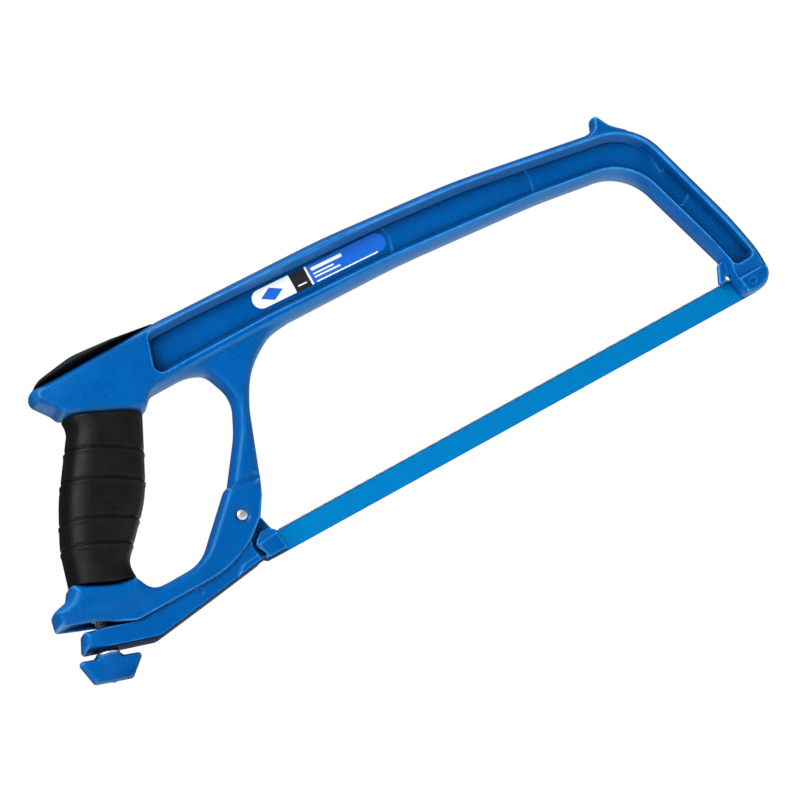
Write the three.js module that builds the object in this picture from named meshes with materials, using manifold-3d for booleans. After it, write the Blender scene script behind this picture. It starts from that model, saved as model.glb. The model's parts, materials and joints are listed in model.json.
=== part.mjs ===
// High-tension hacksaw: a die-cast bow frame with a closed hand grip, a lever that stretches the
// blade, and the thumb knob that pulls the lever up. Millimetres, X forward along the blade, Z up,
// Y across the saw. Pieces are drawn from the rear blade pin, on the middle plane of the frame, and
// moved at the end so that the origin is the centre of the whole saw's box.
import * as THREE from "three";
import { mergeVertices } from "three/addons/utils/BufferGeometryUtils.js";
import Module from "manifold-3d";

const wasm = await Module();
wasm.setup();

// ---- driving dimensions -------------------------------------------------------------------

const CENTRE = { x: 95.215, z: 56.32 }; // the saw's middle, from the rear blade pin
const HOLE_CENTRES = 300; // 12 inch blade, hole to hole
const BLADE = { height: 12.7, thick: 0.65, holeR: 2.1, slide: 3.2 };
const CLEAR = 0.3; // gap kept between neighbouring pieces

const BEAM = { half: 10, crown: 3.2 }; // half width at the near and far face, and its draft
const GUARD = { half: 7.5, crown: 1.8 };
const BASE = { half: 10, crown: 1.2 };
const HEAD = { half: 13.5, radii: [62, 14, 34] }; // the swell where the palm rests
const HEEL = { half: 13, radii: [40, 13.5, 22] }; // the swell under the grip
const SPINE = { half: 8, width: 27, foot: [-93, 17], top: [-37, 111] }; // bar inside the grip
const GRIP = { half: 14.5, width: 47 };
const HOOK = { half: 8, crown: 1.2 };
const PAD = { half: 11.5, crown: 0.15 };

const POCKET = { web: 3.9, run: 3.4, step: 0.35 }; // half web at the arm's foot, wall slope, steps

const PIVOT = { x: -6.6, z: 20.5, headR: 3.1, shankR: 1.7, barrelR: 2.7, bushR: 3.8 };
const CLEVIS = { half: 4.9, tongue: 4.1, reach: 12 };
const LEVER = { half: 9, crown: 0.8, eyeR: 8 };

const PIN = { r: 1.8, length: 14, stand: 4.2 };
const SHELF = -BLADE.thick / 2 - CLEAR; // the blade lies against the near half of each holder

const SCREW = { x: -105, z: -7.5, tilt: THREE.MathUtils.degToRad(17.5), r: 3, top: 31 };
const INSERT = { r: 4.5, low: 17.4, high: 33 };
const WASHER = { r: 6.5, low: -1.5, high: -0.3 };
const KNOB = { neckR: 7, neckTop: -1.8, wingTop: -3.2, wingLow: -15.8, wide: 16, narrow: 9.6, half: 3.6 };

const LABEL = { length: 78, height: 10.4, x: 99, z: 114.9, thick: 0.3, droop: -0.045 };

const ARC_STEP = THREE.MathUtils.degToRad(13); // longest turn of one straight piece of an arc
const ORIGIN = new THREE.Vector2();
const CROWN_STEPS = 3;
const ROUND = 22; // sides of a small cylinder

// ---- materials ------------------------------------------------------------------------------

const metal = (color, roughness = 0.35) =>
  new THREE.MeshStandardMaterial({ color, roughness, metalness: 1 });
const coat = (color, roughness, metalness = 0) =>
  new THREE.MeshStandardMaterial({ color, roughness, metalness });

const powderBlue = coat(0x0064be, 0.4, 0.1);
const bladeBlue = coat(0x008cd7, 0.35, 0.3);
const gripBlack = coat(0x2d282a, 0.85);
const padBlack = coat(0x141416, 0.6);
const zinc = metal(0xc8ccd0);
const steel = metal(0x9a9da2);
const bronze = metal(0xb08d57, 0.45);
const labelWhite = coat(0xf2f4f6, 0.5);

// ---- solids ---------------------------------------------------------------------------------

// A closed three.js geometry as a manifold-3d solid.
function solid(geometry) {
  const bare = geometry.clone();
  bare.deleteAttribute("normal");
  bare.deleteAttribute("uv");
  const merged = mergeVertices(bare, 1e-4);
  return new wasm.Manifold(
    new wasm.Mesh({
      numProp: 3,
      vertProperties: merged.attributes.position.array,
      triVerts: new Uint32Array(merged.index.array),
    }),
  );
}

// A manifold-3d solid as a named three.js mesh, moved from the pin's frame to the saw's.
function part(name, body, material) {
  const mesh = body.translate([-CENTRE.x, 0, -CENTRE.z]).getMesh();
  const geometry = new THREE.BufferGeometry();
  geometry.setAttribute("position", new THREE.BufferAttribute(mesh.vertProperties, 3));
  geometry.setIndex(new THREE.BufferAttribute(mesh.triVerts, 1));
  geometry.computeVertexNormals();
  const made = new THREE.Mesh(geometry, material);
  made.name = name;
  return made;
}

const union = (...bodies) => bodies.reduce((a, b) => a.add(b));

// A closed outline in the XZ plane. Its corners are [x, z, r]: r rounds that corner with a tangent
// arc, and a corner with no r stays sharp.
function outline(...corners) {
  const points = [];
  corners.forEach(([x, z, r = 0], index) => {
    const corner = new THREE.Vector2(x, z);
    if (r === 0) {
      points.push(corner);
      return;
    }
    const before = new THREE.Vector2(...corners.at(index - 1)).sub(corner).normalize();
    const after = new THREE.Vector2(...corners[(index + 1) % corners.length]).sub(corner).normalize();
    const half = Math.acos(before.dot(after)) / 2;
    const centre = before.clone().add(after).setLength(r / Math.sin(half)).add(corner);
    const first = before.multiplyScalar(r / Math.tan(half)).add(corner).sub(centre);
    const last = after.multiplyScalar(r / Math.tan(half)).add(corner).sub(centre);
    const turn = Math.atan2(first.cross(last), first.dot(last));
    const steps = Math.max(2, Math.ceil(Math.abs(turn) / ARC_STEP));
    for (let step = 0; step <= steps; step += 1) {
      points.push(first.clone().rotateAround(ORIGIN, (turn * step) / steps).add(centre));
    }
  });
  return new THREE.Shape(points);
}

// The outline standing between two faces at Y = +-half. It is full size at the middle plane, and
// its edges curve in by `crown` towards each face, as a casting's drafted edges do.
function crowned(shape, { half, crown }) {
  const land = 0.8;
  const geometry = new THREE.ExtrudeGeometry(shape, {
    depth: land,
    bevelThickness: half - land / 2,
    bevelSize: crown,
    bevelOffset: -crown,
    bevelSegments: CROWN_STEPS,
  });
  return solid(geometry.rotateX(Math.PI / 2).translate(0, land / 2, 0));
}

// The outline as a plain plate from Y = low to Y = high.
function plate(shape, low, high) {
  const geometry = new THREE.ExtrudeGeometry(shape, {
    depth: high - low,
    bevelEnabled: false,
  });
  return solid(geometry.rotateX(Math.PI / 2).translate(0, high, 0));
}

// A block between two opposite corners.
function block(x0, x1, y0, y1, z0, z1) {
  const geometry = new THREE.BoxGeometry(x1 - x0, y1 - y0, z1 - z0);
  return solid(geometry.translate((x0 + x1) / 2, (y0 + y1) / 2, (z0 + z1) / 2));
}

// A cylinder across the saw, from Y = low to Y = high.
function across(r, x, z, low, high) {
  const geometry = new THREE.CylinderGeometry(r, r, high - low, ROUND);
  return solid(geometry.translate(x, (low + high) / 2, z));
}

// Places a geometry built round the local Z axis on the tension screw: local Z runs up the screw,
// and its zero is the underside of the lever.
function onScrew(geometry) {
  return solid(geometry.rotateY(SCREW.tilt).translate(SCREW.x, 0, SCREW.z));
}

// A cylinder on the tension screw's axis, from `low` to `high` up it, moved `shift` forward.
function screwRod(r, low, high, shift = 0) {
  const rod = new THREE.CylinderGeometry(r, r, high - low, ROUND).rotateX(Math.PI / 2);
  return onScrew(rod.translate(shift, 0, (low + high) / 2));
}

// ---- frame ----------------------------------------------------------------------------------

// Beam, front corner and arm, with the rear head over the grip.
function beamOutline() {
  return outline(
    [-69.4, 131.7, 4.1],
    [10, 132.1, 80],
    [110, 128.6, 400],
    [187, 122, 400],
    [246, 112.6, 200],
    [290.1, 105.2, 33],
    [309.3, 35, 200],
    [314, 10, 60],
    [313.7, -4.8, 8],
    [291.2, -5.6, 4.5],
    [289.6, 6, 10],
    [290.8, 16, 12],
    [271.9, 83.1, 28],
    [222, 90.3, 300],
    [140, 97.2, 400],
    [60, 99.3, 400],
    [-14.5, 99.8, 7],
    [-21.8, 93.2, 3.6],
    [-62, 111.4, 4],
    [-63.4, 115.6, 8],
    [-72, 125.8, 4.8],
  );
}

// Guard for the knuckles, from the beam down to the pivot housing.
function guardOutline() {
  return outline(
    [-6, 34.2],
    [15.5, 61, 60],
    [24.6, 78.5, 14],
    [19.6, 95, 12],
    [6, 106],
    [68, 106],
    [68, 101.4],
    [60, 98.4, 20],
    [40, 85.5, 45],
    [29.5, 68.5, 60],
    [15.6, 33.5],
  );
}

// Pivot housing and the base that carries the grip's foot.
function baseOutline() {
  return outline(
    [17.8, 37],
    [-3.6, 37],
    [-35.5, 8.7, 20],
    [-67.3, 8.8, 9],
    [-71, 20.8, 2],
    [-88, 24, 60],
    [-105.6, 31.6, 2],
    [-109.5, 25.8, 8],
    [-120.6, 23.6, 3],
    [-124, 14, 2],
    [-104.5, 7.6, 40],
    [-84, -2.6, 12],
    [-30, -2.2, 40],
    [-14, 1.6, 25],
    [4, 15.6, 5],
    [12.6, 24.6, 14],
  );
}

// A smooth swell of the frame's sides: a plate of this outline inside an ellipsoid.
function swell(shape, half, centre, radii, tilt) {
  const ball = new THREE.SphereGeometry(1, 28, 14).scale(...radii);
  ball.rotateY(tilt).translate(...centre);
  return plate(shape, -half, half).intersect(solid(ball));
}

// The swell over the grip, where the palm rests.
function makeHead() {
  const shape = outline(
    [-69, 131, 3.6],
    [20, 131],
    [20, 104],
    [-14.5, 101, 7],
    [-22, 94.2, 3],
    [-62, 111.8, 4],
    [-63.4, 116, 8],
    [-71.4, 126, 4.4],
  );
  return swell(shape, HEAD.half, [-34, 0, 112], HEAD.radii, 0.12);
}

// The swell under the grip's foot.
function makeHeel() {
  const shape = outline(
    [-71.6, 20.4, 2],
    [-88, 23.6, 60],
    [-105.2, 31.2, 2],
    [-109.5, 25.2, 8],
    [-120, 23, 3],
    [-122.6, 15],
    [-104, 9],
    [-86, 1],
    [-60, 1],
    [-60, 9],
    [-67, 9.4, 8],
  );
  return swell(shape, HEEL.half, [-92, 0, 20], HEEL.radii, -0.3);
}

// The bar inside the grip, widened by `grow` on each side.
function spineOutline(grow) {
  const { foot, top, width } = SPINE;
  const along = new THREE.Vector2(top[0] - foot[0], top[1] - foot[1]).normalize();
  const side = new THREE.Vector2(along.y, -along.x).multiplyScalar(width / 2 + grow);
  return outline(
    [foot[0] + side.x, foot[1] + side.y],
    [top[0] + side.x, top[1] + side.y],
    [top[0] - side.x, top[1] - side.y],
    [foot[0] - side.x, foot[1] - side.y],
  );
}

// Hook on the frame's front corner, which the saw hangs by.
function hookOutline() {
  return outline(
    [260, 98],
    [260, 107],
    [268.6, 110.6, 4],
    [271.3, 116.6, 1.7],
    [273.8, 116.2, 1.7],
    [277.5, 108.8, 8],
    [284, 102],
    [280, 98],
  );
}

// Small ear behind the front holder.
const earOutline = () => outline([297, 19], [290.4, 17], [285.2, 7.4], [297, 7.4]);

// Mouth of the recess that runs along the beam and down the arm.
function pocketOutline() {
  return outline(
    [-8, 106.9, 4.3],
    [-0.2, 128.3, 4.3],
    [30, 128.1, 400],
    [137, 122.3, 400],
    [192, 117.2, 300],
    [240, 108.9, 200],
    [284.7, 100.5, 28],
    [303.1, 30, 200],
    [306.8, 10.6, 4.3],
    [296.6, 10.6, 4.3],
    [292.7, 30, 200],
    [277.3, 88.3, 29],
    [221, 96.2, 300],
    [137, 104, 400],
    [60, 106.9, 400],
  );
}

// The recess in both sides of the frame, down to a web of half thickness `web`.
function pockets(web) {
  const deep = BEAM.half - web;
  const mouth = 2;
  const side = (shift) => {
    const cut = new THREE.ExtrudeGeometry(pocketOutline(), {
      depth: mouth,
        bevelThickness: deep,
      bevelSize: POCKET.run,
      bevelOffset: -POCKET.run,
      bevelSegments: 1,
    });
    return solid(cut.rotateX(Math.PI / 2).translate(0, shift, 0));
  };
  return side(-BEAM.half).add(side(BEAM.half + mouth));
}

// The web thins in shallow steps towards the grip. Each step ends in an arc round (x, z).
function webSteps() {
  const arcs = [
    { x: 128, z: 113, r: 14 },
    { x: 209, z: 105, r: 16 },
    { x: 288, z: 63, r: 10 },
  ];
  const wide = BEAM.half + 1;
  const cuts = arcs.map(({ x, z, r }, index) => {
    const end = across(r, x, z, -wide, wide);
    const behind = block(-20, x, -wide, wide, z - 10, 140);
    const web = POCKET.web - POCKET.step * (arcs.length - index);
    return pockets(web).intersect(end.add(behind));
  });
  return union(...cuts);
}

// Slot for the lever's eye, open below and in front.
function clevisSlot() {
  const { half, reach } = CLEVIS;
  const eye = across(LEVER.eyeR + 1.5, PIVOT.x, PIVOT.z, -half, half);
  const mouth = block(PIVOT.x - reach, PIVOT.x + 30, -half, half, -12, PIVOT.z + 4);
  return eye.add(mouth);
}

// Room for the blade's front end on the far side, a sloping face for angled blades, and the shallow
// ledge on the near side.
function frontHolderCuts() {
  const far = BEAM.half + 3;
  const room = block(280, 320, SHELF, far, -12, 8.2);
  const slope = new THREE.Shape([
    new THREE.Vector2(SHELF, 8.1),
    new THREE.Vector2(far, 8.1 + far - SHELF),
    new THREE.Vector2(far, 8),
    new THREE.Vector2(SHELF, 8),
  ]);
  const wedge = new THREE.ExtrudeGeometry(slope, { depth: 40, bevelEnabled: false });
  wedge.rotateX(Math.PI / 2).rotateZ(Math.PI / 2).translate(280, 0, 0);
  const ledge = block(294.2, 310.5, -far, 1.4 - BEAM.half, -12, 3);
  const sight = across(1.6, 291.8, 8.2, -far, far);
  return union(room, solid(wedge), ledge, sight);
}

// The hollow under the base's tail, where the screw comes through.
function tailHollow() {
  return plate(
    outline([-126, -6], [-126, 15.5], [-112, 14.5], [-88, 9], [-66, 1.5], [-66, -6]),
    -5.5,
    5.5,
  );
}

function makeFrame() {
  const cast = union(
    crowned(beamOutline(), BEAM),
    makeHead(),
    crowned(guardOutline(), GUARD),
    crowned(baseOutline(), BASE),
    makeHeel(),
    plate(spineOutline(0), -SPINE.half, SPINE.half),
    crowned(hookOutline(), HOOK),
    plate(earOutline(), -5, -0.8),
  );
  const bores = union(
    across(PIVOT.barrelR + CLEAR, PIVOT.x, PIVOT.z, -12, 12),
    across(PIVOT.headR + CLEAR, PIVOT.x, PIVOT.z, -12, -BASE.half + 1.8),
    across(PIVOT.headR + CLEAR, PIVOT.x, PIVOT.z, BASE.half - 1.8, 12),
    across(PIN.r + 0.1, HOLE_CENTRES, 0, -12, 12),
    anglePin(HOLE_CENTRES, 0.1, 1),
    screwRod(INSERT.r + CLEAR, 0, INSERT.high + 1),
  );
  const cuts = union(pockets(POCKET.web), webSteps(), clevisSlot(), frontHolderCuts(), tailHollow());
  return cast.subtract(cuts).subtract(bores);
}

// ---- grip and pad ---------------------------------------------------------------------------

function makeGrip() {
  const side = outline(
    [-23, 93.1],
    [-61.8, 110.7],
    [-62.4, 105.4, 12],
    [-86.6, 74, 90],
    [-98.8, 52, 60],
    [-105.4, 32.2],
    [-88, 24.8, 60],
    [-71.2, 20.8],
    [-70.2, 28.2, 20],
    [-44.6, 54.6, 70],
  );
  const { foot, top, half, width } = { ...SPINE, ...GRIP };
  const oval = new THREE.Shape().absellipse(0, 0, width / 2, half, 0, 2 * Math.PI);
  const reach = Math.hypot(top[0] - foot[0], top[1] - foot[1]);
  const bar = new THREE.ExtrudeGeometry(oval, { depth: reach, curveSegments: 16, bevelEnabled: false });
  bar.rotateY(Math.atan2(top[0] - foot[0], top[1] - foot[1])).translate(foot[0], 0, foot[1]);
  const bore = plate(spineOutline(CLEAR), -SPINE.half - CLEAR, SPINE.half + CLEAR);
  return plate(side, -half, half).intersect(solid(bar)).subtract(bore);
}

function makePad() {
  const crest = outline(
    [-67, 132.1, 0.4],
    [-62.5, 135.4, 12],
    [-41, 138.5, 40],
    [-18, 136.5, 60],
    [6, 133, 0.3],
    [6, 132.5, 0.2],
  );
  return crowned(crest, PAD);
}

// ---- lever ----------------------------------------------------------------------------------

function makeLever() {
  const bar = outline(
    [2.8, 13.6, 1.2],
    [5.6, 4.9, 3],
    [6, -5.9, 2],
    [-18, -6.6, 60],
    [-42, -9.8, 60],
    [-77.5, -15.1, 9],
    [-119.7, -2.9, 2.4],
    [-113.6, 6.2, 2],
    [-81.6, -3.7, 12],
    [-30, -3.1, 40],
    [-14.5, 0.3, 25],
  );
  const eye = across(LEVER.eyeR, PIVOT.x, PIVOT.z, -CLEVIS.tongue, CLEVIS.tongue);
  const neck = plate(
    outline([PIVOT.x - 8, 19], [-14, -3], [2, -3], [2.6, 13.4], [PIVOT.x + 7.9, 19]),
    -CLEVIS.tongue,
    CLEVIS.tongue,
  );
  const room = block(-9.5, 12, SHELF, LEVER.half + 1, -10, 8);
  const ledge = block(-6.6, 12, -LEVER.half - 1, -LEVER.half + 1.4, -10, 4.8);
  const slot = union(
    screwRod(SCREW.r + 0.5, -4, 16, 3),
    screwRod(SCREW.r + 0.5, -4, 16, 0),
    screwRod(SCREW.r + 0.5, -4, 16, -3),
    screwRod(SCREW.r + 0.5, -4, 16, -5),
    onScrew(new THREE.BoxGeometry(8, 2 * SCREW.r + 1, 20).translate(-1, 0, 6)),
  );
  const bores = union(
    across(PIVOT.bushR + CLEAR, PIVOT.x, PIVOT.z, -12, 12),
    across(PIN.r + 0.1, 0, 0, -12, 12),
  );
  return crowned(bar, LEVER).add(eye).add(neck).subtract(union(room, ledge, slot, bores));
}

// A round collar across the saw, with a hole through it.
function collar(outer, inner, low, high) {
  return across(outer, PIVOT.x, PIVOT.z, low, high).subtract(
    across(inner, PIVOT.x, PIVOT.z, low - 1, high + 1),
  );
}

// Screw of the two-piece pivot: a head with a centre mark, and a shank.
function makePivotScrew() {
  const face = BASE.half + 0.3;
  const head = across(PIVOT.headR, PIVOT.x, PIVOT.z, -face, -face + 1.7);
  const shank = across(PIVOT.shankR, PIVOT.x, PIVOT.z, -face + 1, 5);
  const mark = across(0.7, PIVOT.x, PIVOT.z, -face - 1, -face + 0.6);
  return head.add(shank).subtract(mark);
}

// Sleeve of the two-piece pivot, with its own head on the far side.
function makePivotBarrel() {
  const face = BASE.half + 0.3;
  const head = across(PIVOT.headR, PIVOT.x, PIVOT.z, face - 1.7, face);
  const barrel = across(PIVOT.barrelR, PIVOT.x, PIVOT.z, -BASE.half + 2.2, face - 1);
  const bore = across(PIVOT.shankR + CLEAR, PIVOT.x, PIVOT.z, -12, 6);
  return head.add(barrel).subtract(bore);
}

// ---- blade and its pins ---------------------------------------------------------------------

function makeBlade() {
  const r = BLADE.height / 2;
  const shape = new THREE.Shape();
  shape.moveTo(0, -r).lineTo(HOLE_CENTRES, -r);
  shape.absarc(HOLE_CENTRES, 0, r, -Math.PI / 2, Math.PI / 2, false);
  shape.lineTo(0, r);
  shape.absarc(0, 0, r, Math.PI / 2, 1.5 * Math.PI, false);
  const body = new THREE.ExtrudeGeometry(shape, {
    depth: BLADE.thick,
    curveSegments: 8,
    bevelEnabled: false,
  });
  const sheet = solid(body.rotateX(Math.PI / 2).translate(0, BLADE.thick / 2, 0));
  const slotEnd = HOLE_CENTRES - BLADE.slide;
  const holes = union(
    across(BLADE.holeR, 0, 0, -1, 1),
    across(BLADE.holeR, HOLE_CENTRES, 0, -1, 1),
    across(BLADE.holeR, slotEnd, 0, -1, 1),
    block(slotEnd, HOLE_CENTRES, -1, 1, -BLADE.holeR, BLADE.holeR),
  );
  return sheet.subtract(holes);
}

const bladePin = (x) => across(PIN.r, x, 0, PIN.stand - PIN.length, PIN.stand);

// Pin on the sloping face above a holder, for a blade set at 45 degrees.
function anglePin(x, grow, reach) {
  const pin = new THREE.CylinderGeometry(PIN.r + grow, PIN.r + grow, 8 + reach, ROUND);
  pin.rotateX(-Math.PI / 4).translate(x - 0.6, 3.6, 12.2);
  return solid(pin);
}

// ---- tension screw and knob -----------------------------------------------------------------

function makeKnob() {
  const { neckR, neckTop, wingTop, wingLow, wide, narrow, half } = KNOB;
  const neck = new THREE.CylinderGeometry(neckR, neckR - 1.2, 8, ROUND);
  const wing = new THREE.Shape();
  wing.moveTo(-narrow, wingLow).lineTo(narrow, wingLow);
  wing.quadraticCurveTo(narrow + 1.6, wingLow, narrow + 2.4, wingLow + 1.6);
  wing.lineTo(wide - 0.4, wingTop - 3);
  wing.quadraticCurveTo(wide, wingTop, wide - 3, wingTop);
  wing.lineTo(3 - wide, wingTop);
  wing.quadraticCurveTo(-wide, wingTop, 0.4 - wide, wingTop - 3);
  wing.lineTo(-narrow - 2.4, wingLow + 1.6);
  wing.quadraticCurveTo(-narrow - 1.6, wingLow, -narrow, wingLow);
  const land = 2;
  const paddle = new THREE.ExtrudeGeometry(wing, {
    depth: land,
    curveSegments: 4,
    bevelThickness: half - land / 2,
    bevelSize: 1.4,
    bevelOffset: -1.4,
    bevelSegments: 2,
  });
  const body = onScrew(neck.rotateX(Math.PI / 2).translate(0, 0, neckTop - 4)).add(
    onScrew(paddle.rotateX(Math.PI / 2).translate(0, land / 2, 0)),
  );
  const bore = screwRod(SCREW.r + CLEAR, -13, 2);
  return body.subtract(bore).subtract(crossHole(1.3, 10));
}

// A rod across the knob, through the screw.
function crossHole(r, half) {
  const rod = new THREE.CylinderGeometry(r, r, 2 * half, ROUND);
  return onScrew(rod.translate(0, 0, -8));
}

const makeScrew = () => screwRod(SCREW.r, -12.5, SCREW.top).subtract(crossHole(1.3, 10));

function makeWasher() {
  const disc = screwRod(WASHER.r, WASHER.low, WASHER.high);
  return disc.subtract(screwRod(SCREW.r + CLEAR, WASHER.low - 1, WASHER.high + 1));
}

function makeInsert() {
  const sleeve = screwRod(INSERT.r, INSERT.low, INSERT.high);
  return sleeve.subtract(screwRod(SCREW.r + CLEAR, INSERT.low - 1, INSERT.high + 1));
}

// ---- labels ---------------------------------------------------------------------------------

// A plain sticker on the web, lifted clear of it, on the near (-1) or far (+1) side.
function makeLabel(side) {
  const { length, height, x, z, thick, droop } = LABEL;
  const r = height / 2;
  const shape = new THREE.Shape();
  shape.moveTo(r - length / 2, -r).lineTo(length / 2 - r, -r);
  shape.absarc(length / 2 - r, 0, r, -Math.PI / 2, Math.PI / 2, false);
  shape.lineTo(r - length / 2, r);
  shape.absarc(r - length / 2, 0, r, Math.PI / 2, 1.5 * Math.PI, false);
  const web = POCKET.web - 3 * POCKET.step;
  const sheet = new THREE.ExtrudeGeometry(shape, { depth: thick, curveSegments: 6, bevelEnabled: false });
  sheet.rotateZ(droop).rotateX(Math.PI / 2);
  return solid(sheet.translate(x, side > 0 ? web + CLEAR + thick : -web - CLEAR, z));
}

// ---- assembly -------------------------------------------------------------------------------

const hacksaw = new THREE.Group();
hacksaw.name = "hacksaw";
hacksaw.add(
  part("frame", makeFrame(), powderBlue),
  part("grip_sleeve", makeGrip(), gripBlack),
  part("palm_pad", makePad(), padBlack),
  part("tension_lever", makeLever(), powderBlue),
  part("pivot_screw", makePivotScrew(), zinc),
  part("pivot_barrel", makePivotBarrel(), zinc),
  part("pivot_bush", collar(PIVOT.bushR, PIVOT.barrelR + CLEAR, -CLEVIS.tongue, CLEVIS.tongue), bronze),
  part("pivot_washer_near", collar(6, PIVOT.barrelR + CLEAR, -4.7, -4.3), steel),
  part("pivot_washer_far", collar(6, PIVOT.barrelR + CLEAR, 4.3, 4.7), steel),
  part("threaded_insert", makeInsert(), steel),
  part("tension_screw", makeScrew(), zinc),
  part("thrust_washer", makeWasher(), zinc),
  part("thumb_knob", makeKnob(), powderBlue),
  part("knob_cross_pin", crossHole(1.1, 6.4), steel),
  part("rear_blade_pin", bladePin(0), steel),
  part("front_blade_pin", bladePin(HOLE_CENTRES), steel),
  part("front_angle_pin", anglePin(HOLE_CENTRES, 0, 0), steel),
  part("saw_blade", makeBlade(), bladeBlue),
  part("side_label_near", makeLabel(-1), labelWhite),
  part("side_label_far", makeLabel(1), labelWhite),
);

export default hacksaw;
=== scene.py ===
import json
import math

import bmesh
import bpy
import numpy as np
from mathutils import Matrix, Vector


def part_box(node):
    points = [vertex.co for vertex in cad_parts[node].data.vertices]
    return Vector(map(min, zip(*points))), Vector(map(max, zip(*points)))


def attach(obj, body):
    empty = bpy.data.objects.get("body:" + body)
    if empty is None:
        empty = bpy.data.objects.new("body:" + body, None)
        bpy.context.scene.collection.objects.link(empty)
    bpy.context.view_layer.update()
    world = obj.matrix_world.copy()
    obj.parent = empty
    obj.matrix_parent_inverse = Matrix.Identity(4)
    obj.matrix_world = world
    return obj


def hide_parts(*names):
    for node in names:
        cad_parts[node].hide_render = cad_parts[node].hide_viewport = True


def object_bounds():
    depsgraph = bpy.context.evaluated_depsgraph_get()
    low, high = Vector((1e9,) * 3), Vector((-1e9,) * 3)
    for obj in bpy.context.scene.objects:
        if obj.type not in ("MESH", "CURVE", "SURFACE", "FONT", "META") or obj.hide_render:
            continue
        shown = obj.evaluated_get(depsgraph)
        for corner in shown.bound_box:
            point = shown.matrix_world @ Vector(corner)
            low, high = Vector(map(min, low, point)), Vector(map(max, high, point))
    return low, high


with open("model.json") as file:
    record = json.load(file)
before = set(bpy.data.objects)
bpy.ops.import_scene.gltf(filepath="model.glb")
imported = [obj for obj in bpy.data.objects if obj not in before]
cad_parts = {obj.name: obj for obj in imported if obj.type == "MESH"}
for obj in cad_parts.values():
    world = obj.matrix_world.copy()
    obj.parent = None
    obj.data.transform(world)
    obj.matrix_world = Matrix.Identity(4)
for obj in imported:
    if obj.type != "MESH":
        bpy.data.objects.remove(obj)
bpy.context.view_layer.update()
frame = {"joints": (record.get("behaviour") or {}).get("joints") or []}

import openvdb
from mathutils import Matrix, Vector

MM = 0.001


def middle(node):
    """Centre of a CAD node's box, in millimetres."""
    low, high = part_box(node)
    return (low + high) / 2 / MM


# ---- places taken from the frame ------------------------------------------------------------

HOME = middle("rear_blade_pin") * Vector((1, 0, 1))  # what every field and outline is measured from


def from_home(point_m):
    """A place in the frame, in metres, as millimetres from the rear blade pin."""
    return Vector(point_m) / MM - HOME


JOINTS = {joint["name"]: joint for joint in frame["joints"]}
PIVOT = from_home(JOINTS["lever_pivot"]["pos_m"])
PIVOT_XZ = (PIVOT.x, PIVOT.z)
SCREW_FOOT = from_home(JOINTS["knob_spin"]["pos_m"])
SCREW_UP = -Vector(JOINTS["knob_spin"]["axis"]).normalized()
TILT = math.atan2(SCREW_UP.x, SCREW_UP.z)
FRONT_PIN = middle("front_blade_pin") - HOME
PIN_LOW, PIN_HIGH = (from_home(corner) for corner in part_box("rear_blade_pin"))
PIN_RADIUS = (PIN_HIGH.x - PIN_LOW.x) / 2
BLADE_LOW, BLADE_HIGH = (from_home(corner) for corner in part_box("saw_blade"))
BLADE_CLEARANCE = 0.3
SHELF = BLADE_LOW.y - BLADE_CLEARANCE  # the near half of each holder ends here, beside the blade
PIN_NEAR = 6.7  # the blade pins end here, hidden behind the near faces of the holders
PIN_BORE = PIN_RADIUS + 0.1
PIN_BORE_NEAR = 6.9


# ---- fields ---------------------------------------------------------------------------------

ARC_STEP = math.radians(3)


def outline(*corners):
    """Points of a closed outline. A corner is (x, z, r), where r rounds it with a tangent arc."""
    points = []
    for index, (x, z, *rest) in enumerate(corners):
        corner = np.array((x, z), float)
        if not rest:
            points.append(corner)
            continue
        radius = rest[0]
        before = np.array(corners[index - 1][:2]) - corner
        after = np.array(corners[(index + 1) % len(corners)][:2]) - corner
        before /= np.linalg.norm(before)
        after /= np.linalg.norm(after)
        half = math.acos(before @ after) / 2
        way = (before + after) / np.linalg.norm(before + after)
        centre = corner + way * radius / math.sin(half)
        first = corner + before * radius / math.tan(half) - centre
        last = corner + after * radius / math.tan(half) - centre
        turn = math.atan2(first[0] * last[1] - first[1] * last[0], first @ last)
        steps = max(2, math.ceil(abs(turn) / ARC_STEP))
        for angle in np.linspace(0, turn, steps + 1):
            c, s = math.cos(angle), math.sin(angle)
            points.append(centre + (c * first[0] - s * first[1], s * first[0] + c * first[1]))
    return np.array(points)


def distance(points, x, z):
    """Signed distance from the grid points to a closed outline."""
    nearest = np.full(x.shape, np.inf, np.float32)
    inside = np.zeros(x.shape, bool)
    for (ax, az), (bx, bz) in zip(points, np.roll(points, -1, axis=0)):
        ex, ez = bx - ax, bz - az
        px, pz = x - ax, z - az
        along = np.clip((px * ex + pz * ez) / (ex * ex + ez * ez), 0, 1)
        np.minimum(nearest, (px - along * ex) ** 2 + (pz - along * ez) ** 2, out=nearest)
        if ez != 0:
            inside ^= ((az > z) != (bz > z)) & (px < ex * pz / ez)
    return np.where(inside, -1, 1) * np.sqrt(nearest)


def smooth_min(a, b, k):
    """The lower of two fields, blended over about k."""
    h = np.clip(0.5 + 0.5 * (b - a) / k, 0, 1)
    return b + (a - b) * h - k * h * (1 - h)


def smooth_max(a, b, k):
    """The higher of two fields, blended over about k."""
    return -smooth_min(-a, -b, k)


def step(value, width):
    """0 to 1 over `width`, centred on value = 0, with soft ends."""
    t = np.clip(value / width + 0.5, 0, 1)
    return t * t * (3 - 2 * t)


def crowned(flat, y, half, crown, edge=0.6):
    """An outline's field `flat` as a solid: full size at Y = 0, its sides curving in to the faces."""
    inset = crown * (y / half) ** 2
    return smooth_max(flat + inset, abs(y) - half, edge)


def bevelled(flat, y, face, bevel):
    """A raised outline on the near side: its edge falls back at 45 degrees from the face."""
    slope = (flat + bevel - y - face) / math.sqrt(2)
    return np.maximum.reduce([flat, np.full_like(flat, -face - y), slope, np.full_like(flat, y)])


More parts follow.
